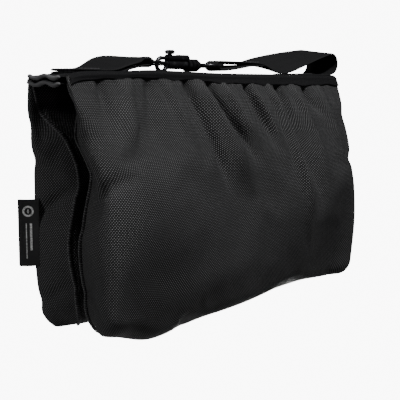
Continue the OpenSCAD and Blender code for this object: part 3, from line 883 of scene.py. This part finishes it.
def label_material():
    """Woven label: a ring round a lozenge and two pale rules, with no lettering."""
    m = Nodes("woven_label", (0.01, 0.01, 0.012), 0.6, Sheen_Weight=0.01)
    u, v = m.uv()
    across = m.math("ABSOLUTE", m.math("SUBTRACT", u, 7.5))
    ring_gap = m.math("SUBTRACT", m.math("SQRT", m.math(
        "ADD", m.math("POWER", across, 2.0), m.math("POWER", m.math("SUBTRACT", v, 9.0), 2.0))), 3.4)
    ring = m.math("LESS_THAN", m.math("ABSOLUTE", ring_gap), 0.7)
    lozenge = m.math("LESS_THAN", m.math(
        "ADD", m.math("MULTIPLY", across, 2.2),
        m.math("ABSOLUTE", m.math("SUBTRACT", v, 9.0))), 1.8)
    rule = m.math("MULTIPLY", m.math("LESS_THAN", m.math("ABSOLUTE", m.math("SUBTRACT", u, 6.0)), 0.35),
                  m.math("LESS_THAN", m.math("ABSOLUTE", m.math("SUBTRACT", v, 31.0)), 13.0))
    second = m.math("MULTIPLY",
                    m.math("LESS_THAN", m.math("ABSOLUTE", m.math("SUBTRACT", u, 9.4)), 0.8),
                    m.math("LESS_THAN", m.math("ABSOLUTE", m.math("SUBTRACT", v, 28.0)), 10.0))
    mark = m.math("MAXIMUM", m.math("MAXIMUM", ring, lozenge), m.math("MAXIMUM", rule, second))
    weave = m.math("MULTIPLY", m.math("SINE", m.math("MULTIPLY", u, math.pi / 0.3)),
                   m.math("SINE", m.math("MULTIPLY", v, math.pi / 0.3)))
    tone = m.math("MULTIPLY", mark, m.ramp(m.noise(900, 3), 0.2, 0.6))
    m.color(m.mix(tone, (0.004, 0.004, 0.005), (0.75, 0.75, 0.75)))
    m.normal(m.bump(m.math("MULTIPLY_ADD", mark, 0.6, weave), 0.00008, 0.8))
    return m.material


def add_label():
    low, high = box_mm("label")
    pin = np.array([high[0] - 0.3, low[1] + 0.3])
    width, height = 16.0, high[2] - low[2]
    lean = math.radians(35)
    out = np.array([-math.cos(lean), math.sin(lean)])
    side = np.array([math.sin(lean), math.cos(lean)])
    us = np.linspace(0, width, 10)
    vs = np.linspace(0, height, 26)
    rows = []
    for v in vs:
        bend = 1.3 * np.sin(us / width * 1.7) * math.sin(v / height * 2.6 + 0.4) + 0.5 * np.sin(v / 9)
        flat = pin + np.outer(us * (1 - 0.004 * v / height), out) + np.outer(bend, side)
        rows.append(np.column_stack([flat, np.full(len(us), high[2] - v - 0.4 * np.sin(us / 5))]))
    piece = sheet_grid("woven_flap", np.array(rows), lambda i, j: (width - us[j], vs[i]),
                       label_material(), 0.9)
    subdivide(piece)
    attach(piece, "label_flap")
    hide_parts("label")


add_label()

# ---------------------------------------------------------------- zippers


def add_zipper_coil(side):
    """Two rows of moulded teeth in place of the plain strips."""
    low, high = box_mm(PREFIX[side] + "_zipper_teeth")
    mid_y, mid_z = (low[1] + high[1]) / 2, (low[2] + high[2]) / 2
    half_z = (high[2] - low[2]) / 2
    pitch, r = 1.9, 0.42
    verts, faces = [], []
    for row in (-1, 1):
        for x in np.arange(low[0] + 1 + (0.5 + row * 0.5) * pitch / 2, high[0] - 1, pitch):
            base = len(verts)
            for step in np.linspace(0, 1, 5):
                fat = r * (0.8 + 0.35 * math.sin(math.pi * step))
                z = mid_z + row * (0.85 + (half_z - 0.95) * step)
                for t in np.linspace(0, 2 * math.pi, 6, endpoint=False):
                    verts.append((x + fat * 1.2 * math.cos(t), mid_y + fat * math.sin(t), z))
            for ring in range(4):
                for k in range(6):
                    p, q = base + ring * 6 + k, base + ring * 6 + (k + 1) % 6
                    faces.append([p, q, q + 6, p + 6] if row < 0 else [p, p + 6, q + 6, q])
            faces.append([base + k for k in range(6)][::-row])
            faces.append([base + 24 + k for k in range(6)][::row])
    piece = make(PREFIX[side] + "_zipper_coil", verts, faces, None, ZIP_TEETH)
    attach(piece, POUCH[side])
    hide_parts(PREFIX[side] + "_zipper_teeth")


for side in (-1, 1):
    add_zipper_coil(side)

# ---------------------------------------------------------------- bolt spring


def add_bolt_spring():
    """A coil behind the bolt, built at one length: it does not shorten as the bolt is drawn back."""
    low, high = box_mm("hook_spring")
    wire, turns, per_turn, sides = 0.25, 9, 20, 6
    mid_y, mid_z = (low[1] + high[1]) / 2, (low[2] + high[2]) / 2
    coil_r = (high[2] - low[2]) / 2 - wire
    count = turns * per_turn + 1
    verts, faces = [], []
    for k in range(count):
        x = low[0] + wire + (high[0] - low[0] - 2 * wire) * k / (count - 1)
        turn = 2 * math.pi * k / per_turn
        for t in np.linspace(0, 2 * math.pi, sides, endpoint=False):
            r = coil_r + wire * math.cos(t)
            verts.append((x + wire * math.sin(t), mid_y + r * math.cos(turn), mid_z + r * math.sin(turn)))
    for k in range(count - 1):
        for n in range(sides):
            a, b = k * sides + n, k * sides + (n + 1) % sides
            faces.append([a, a + sides, b + sides, b])
    faces.append(list(range(sides)))
    faces.append([(count - 1) * sides + n for n in range(sides)][::-1])
    piece = make("bolt_spring_coil", verts, faces, None, STEEL)
    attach(piece, "hook")
    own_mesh(piece)
    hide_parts("hook_spring")


add_bolt_spring()

# ---------------------------------------------------------------- finishes of the carried-over nodes

NODE_FINISH = {"zipper_tape": ZIP_TAPE, "zipper_stops": METAL, "zipper_slider": METAL,
               "zipper_pull": METAL, "d_ring": METAL, "swivel_eye": METAL, "hook_body": METAL,
               "hook_bolt": METAL}
for name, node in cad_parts.items():
    for ending, material in NODE_FINISH.items():
        if name.endswith(ending):
            node.data.materials.clear()
            node.data.materials.append(material)

# ---------------------------------------------------------------- camera, floor and light


def add_camera():
    data = bpy.data.cameras.new("camera")
    camera = bpy.data.objects.new("camera", data)
    bpy.context.scene.collection.objects.link(camera)
    pitch = math.radians(7.35)
    look = Vector((math.sin(CAMERA_YAW) * math.cos(pitch), math.cos(CAMERA_YAW) * math.cos(pitch),
                   -math.sin(pitch)))
    camera.location = (-0.557, -0.4936, -0.0037)
    camera.rotation_euler = look.to_track_quat("-Z", "Y").to_euler()
    data.sensor_width = 36
    data.lens = 81.1
    data.clip_end = 60
    bpy.context.scene.camera = camera


def stage_plane(name, corners, shine, pale):
    mesh = bpy.data.meshes.new(name)
    mesh.from_pydata(corners, [], [[0, 1, 2, 3]])
    plane = bpy.data.objects.new(name, mesh)
    bpy.context.scene.collection.objects.link(plane)
    m = Nodes("stage_" + name, (pale, pale, pale), 0.9)
    m.shader.inputs["Emission Color"].default_value = (1, 1, 1, 1)
    m.shader.inputs["Emission Strength"].default_value = shine
    mesh.materials.append(m.material)


def add_stage():
    """A grey floor well below the hanging bag, and a bright backdrop behind it."""
    low, far = -1.7, 2.6
    look = Vector((math.sin(CAMERA_YAW), math.cos(CAMERA_YAW), 0))
    side = Vector((look.y, -look.x, 0))
    stage_plane("floor", [(-9, -9, low), (9, -9, low), (9, 9, low), (-9, 9, low)], 0.0, 0.3)
    foot = look * far
    corners = [foot - side * 1.0, foot + side * 1.0]
    stage_plane("backdrop", [(*corners[0].xy, -1.4), (*corners[1].xy, -1.4), (*corners[1].xy, 0.5),
                             (*corners[0].xy, 0.5)], 9.0, 0.9)


def add_light(name, place, size, power):
    data = bpy.data.lights.new(name, "AREA")
    data.shape = "RECTANGLE"
    data.size, data.size_y = size
    data.energy = power
    light = bpy.data.objects.new(name, data)
    light.location = place
    light.rotation_euler = (Vector((0, 0, -0.06)) - Vector(place)).to_track_quat("-Z", "Y").to_euler()
    bpy.context.scene.collection.objects.link(light)


def add_world():
    world = bpy.data.worlds.new("world")
    bpy.context.scene.world = world
    world.use_nodes = True
    back = world.node_tree.nodes["Background"]
    back.inputs["Color"].default_value = (1, 1, 1, 1)
    back.inputs["Strength"].default_value = 0.07


add_camera()
add_stage()
add_light("key", (-0.05, -0.85, 1.3), (0.2, 0.2), 38)
add_light("fill", (-1.3, 0.1, 0.35), (0.3, 0.4), 8)
add_world()
